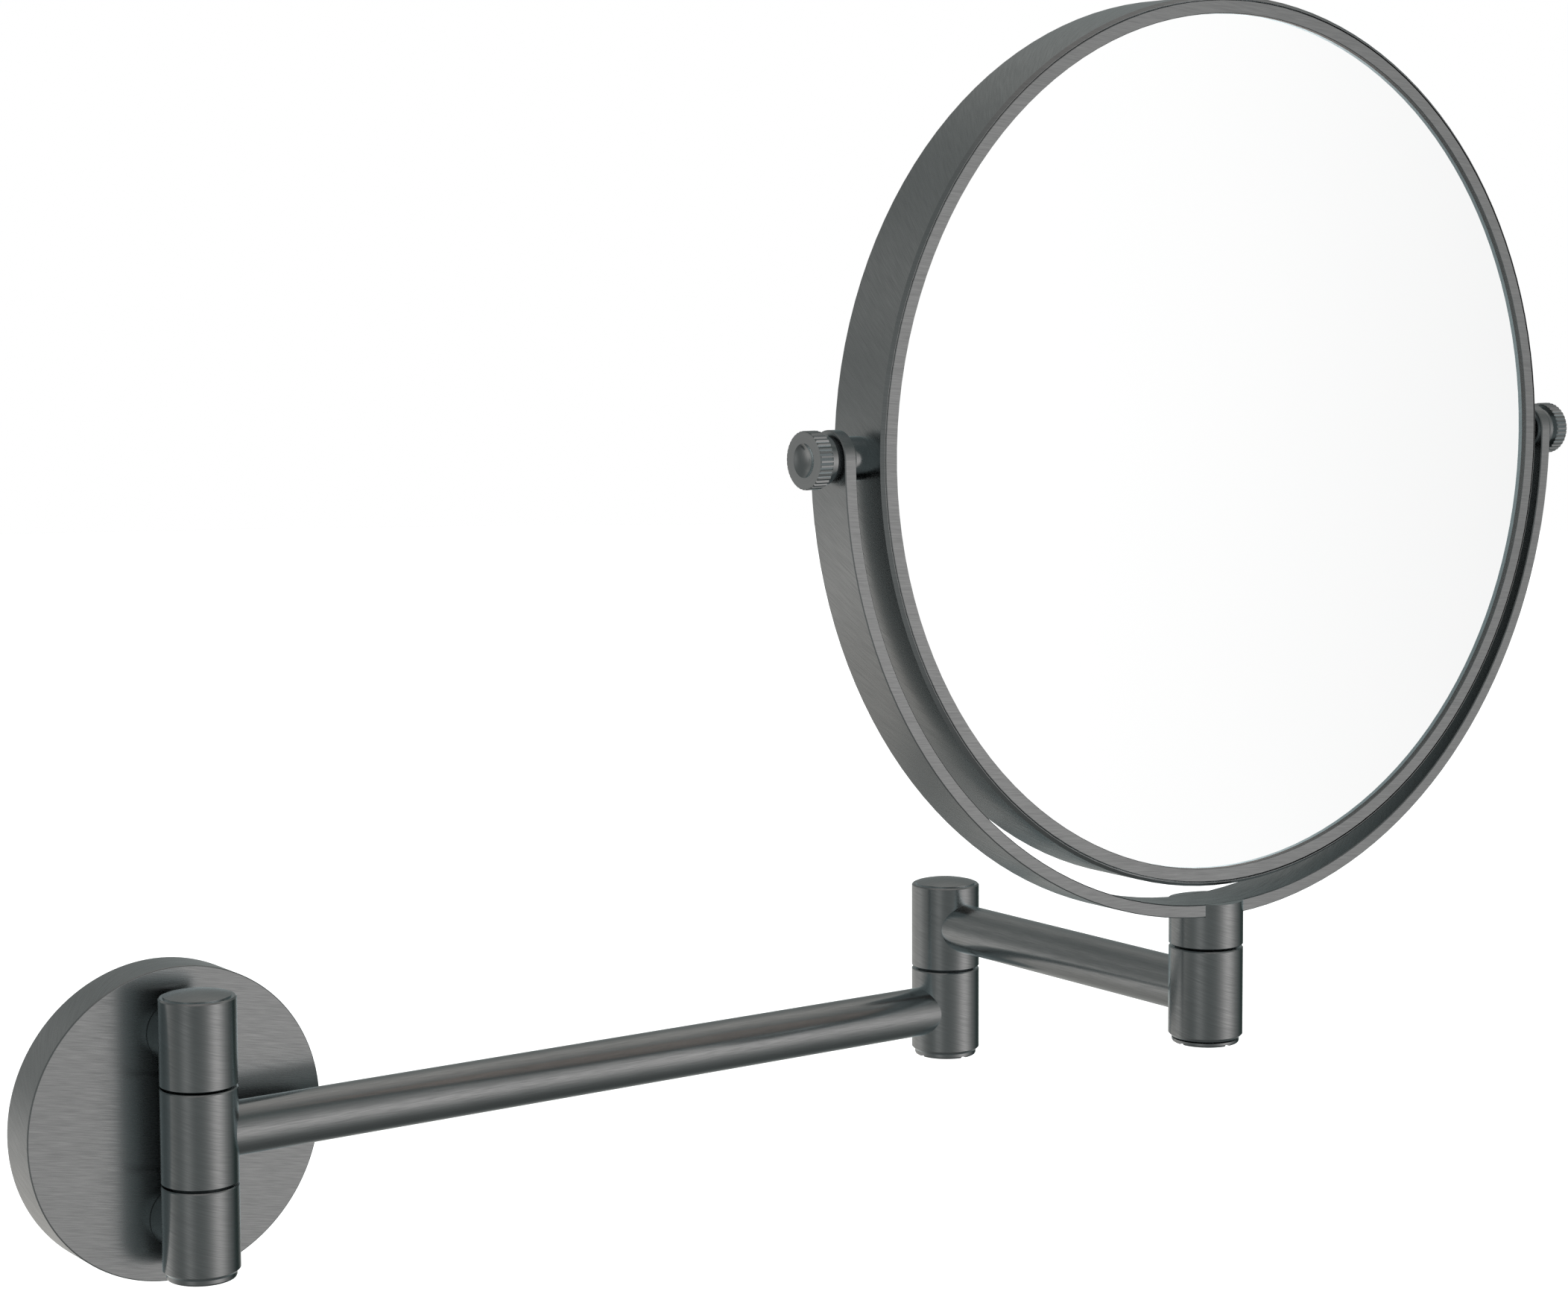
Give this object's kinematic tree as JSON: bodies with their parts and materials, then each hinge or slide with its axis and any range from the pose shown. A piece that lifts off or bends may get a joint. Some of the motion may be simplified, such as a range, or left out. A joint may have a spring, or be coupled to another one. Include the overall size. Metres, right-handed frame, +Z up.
{
  "type": "extendable shaving mirror",
  "caption": "Wall-mounted round shaving mirror on folding swing arms with a half-ring yoke, knurled tilt knobs and a round rosette.",
  "frame": {"origin": "centre of the rosette's back face, on the wall plane", "axes": "+Y into the wall, -Y into the room, +Z up, +X to the right for a person who faces the wall; the long arm lies along +X at rest"},
  "size_m": [0.3558, 0.1267, 0.2825],
  "materials": {
    "brushed_graphite": "dark graphite coating over fine brushing",
    "dark_fittings": "turned graphite, finer grain",
    "plain_steel": "zinc-plated inner steel",
    "mirror_glass": "silvered float glass",
    "black_plastic": "matt acetal",
    "brass_insert": "machined"
  },
  "bodies": {
    "wall_mount": {"rosette_cover": "brushed_graphite", "mounting_plate": "plain_steel", "rosette_grub_screw": "plain_steel", "post_screws": "plain_steel", "upper_post": "brushed_graphite", "lower_post": "brushed_graphite", "upper_wall_knuckle": "brushed_graphite", "lower_wall_knuckle": "brushed_graphite", "wall_hinge_pin": "plain_steel", "wall_disc_springs": "plain_steel", "wall_hinge_cap": "dark_fittings", "wall_hinge_nut": "dark_fittings", "wall_thrust_washers": "black_plastic"},
    "long_arm": {"long_arm_root_knuckle": "brushed_graphite", "long_arm_tube": "brushed_graphite", "long_arm_tip_knuckle": "brushed_graphite", "long_arm_bush": "black_plastic", "elbow_pin": "plain_steel", "elbow_disc_springs": "plain_steel", "elbow_nut": "dark_fittings", "elbow_thrust_washer": "black_plastic"},
    "short_arm": {"short_arm_root_knuckle": "brushed_graphite", "short_arm_tube": "brushed_graphite", "short_arm_tip_knuckle": "brushed_graphite", "elbow_cap": "dark_fittings", "elbow_bush": "black_plastic", "yoke_bush": "black_plastic"},
    "yoke": {"yoke_hub": "brushed_graphite", "yoke_band": "brushed_graphite", "yoke_pin": "plain_steel", "yoke_nut": "dark_fittings", "yoke_disc_springs": "plain_steel", "yoke_thrust_washer": "black_plastic", "left_tilt_washer": "black_plastic", "right_tilt_washer": "black_plastic"},
    "mirror": {"mirror_drum": "brushed_graphite", "front_bezel": "brushed_graphite", "rear_bezel": "brushed_graphite", "plain_mirror": "mirror_glass", "plain_mirror_backing": "black_plastic", "magnifying_mirror": "mirror_glass", "mirror_carrier": "black_plastic", "pivot_inserts": "brass_insert", "left_pivot_bush": "dark_fittings", "right_pivot_bush": "dark_fittings"},
    "left_knob": {"left_knob": "dark_fittings", "left_knob_stud": "plain_steel"},
    "right_knob": {"right_knob": "dark_fittings", "right_knob_stud": "plain_steel"}
  },
  "joints": [
    {"name": "wall_swivel", "type": "hinge", "parent": "wall_mount", "child": "long_arm", "pos_m": [0, -0.022, 0], "axis": [0, 0, 1], "range_deg": [-180, 0]},
    {"name": "elbow_swivel", "type": "hinge", "parent": "long_arm", "child": "short_arm", "pos_m": [0.207, -0.022, 0.0215], "axis": [0, 0, 1], "continuous": true},
    {"name": "yoke_swivel", "type": "hinge", "parent": "short_arm", "child": "yoke", "pos_m": [0.207, -0.118, 0.0325], "axis": [0, 0, 1], "continuous": true},
    {"name": "mirror_tilt", "type": "hinge", "parent": "yoke", "child": "mirror", "pos_m": [0.207, -0.118, 0.1475], "axis": [1, 0, 0], "continuous": true},
    {"name": "left_knob_turn", "type": "hinge", "parent": "mirror", "child": "left_knob", "pos_m": [0.0981, -0.118, 0.1475], "axis": [1, 0, 0], "range_deg": [0, 180]},
    {"name": "right_knob_turn", "type": "hinge", "parent": "mirror", "child": "right_knob", "pos_m": [0.3159, -0.118, 0.1475], "axis": [1, 0, 0], "range_deg": [-180, 0]}
  ]
}
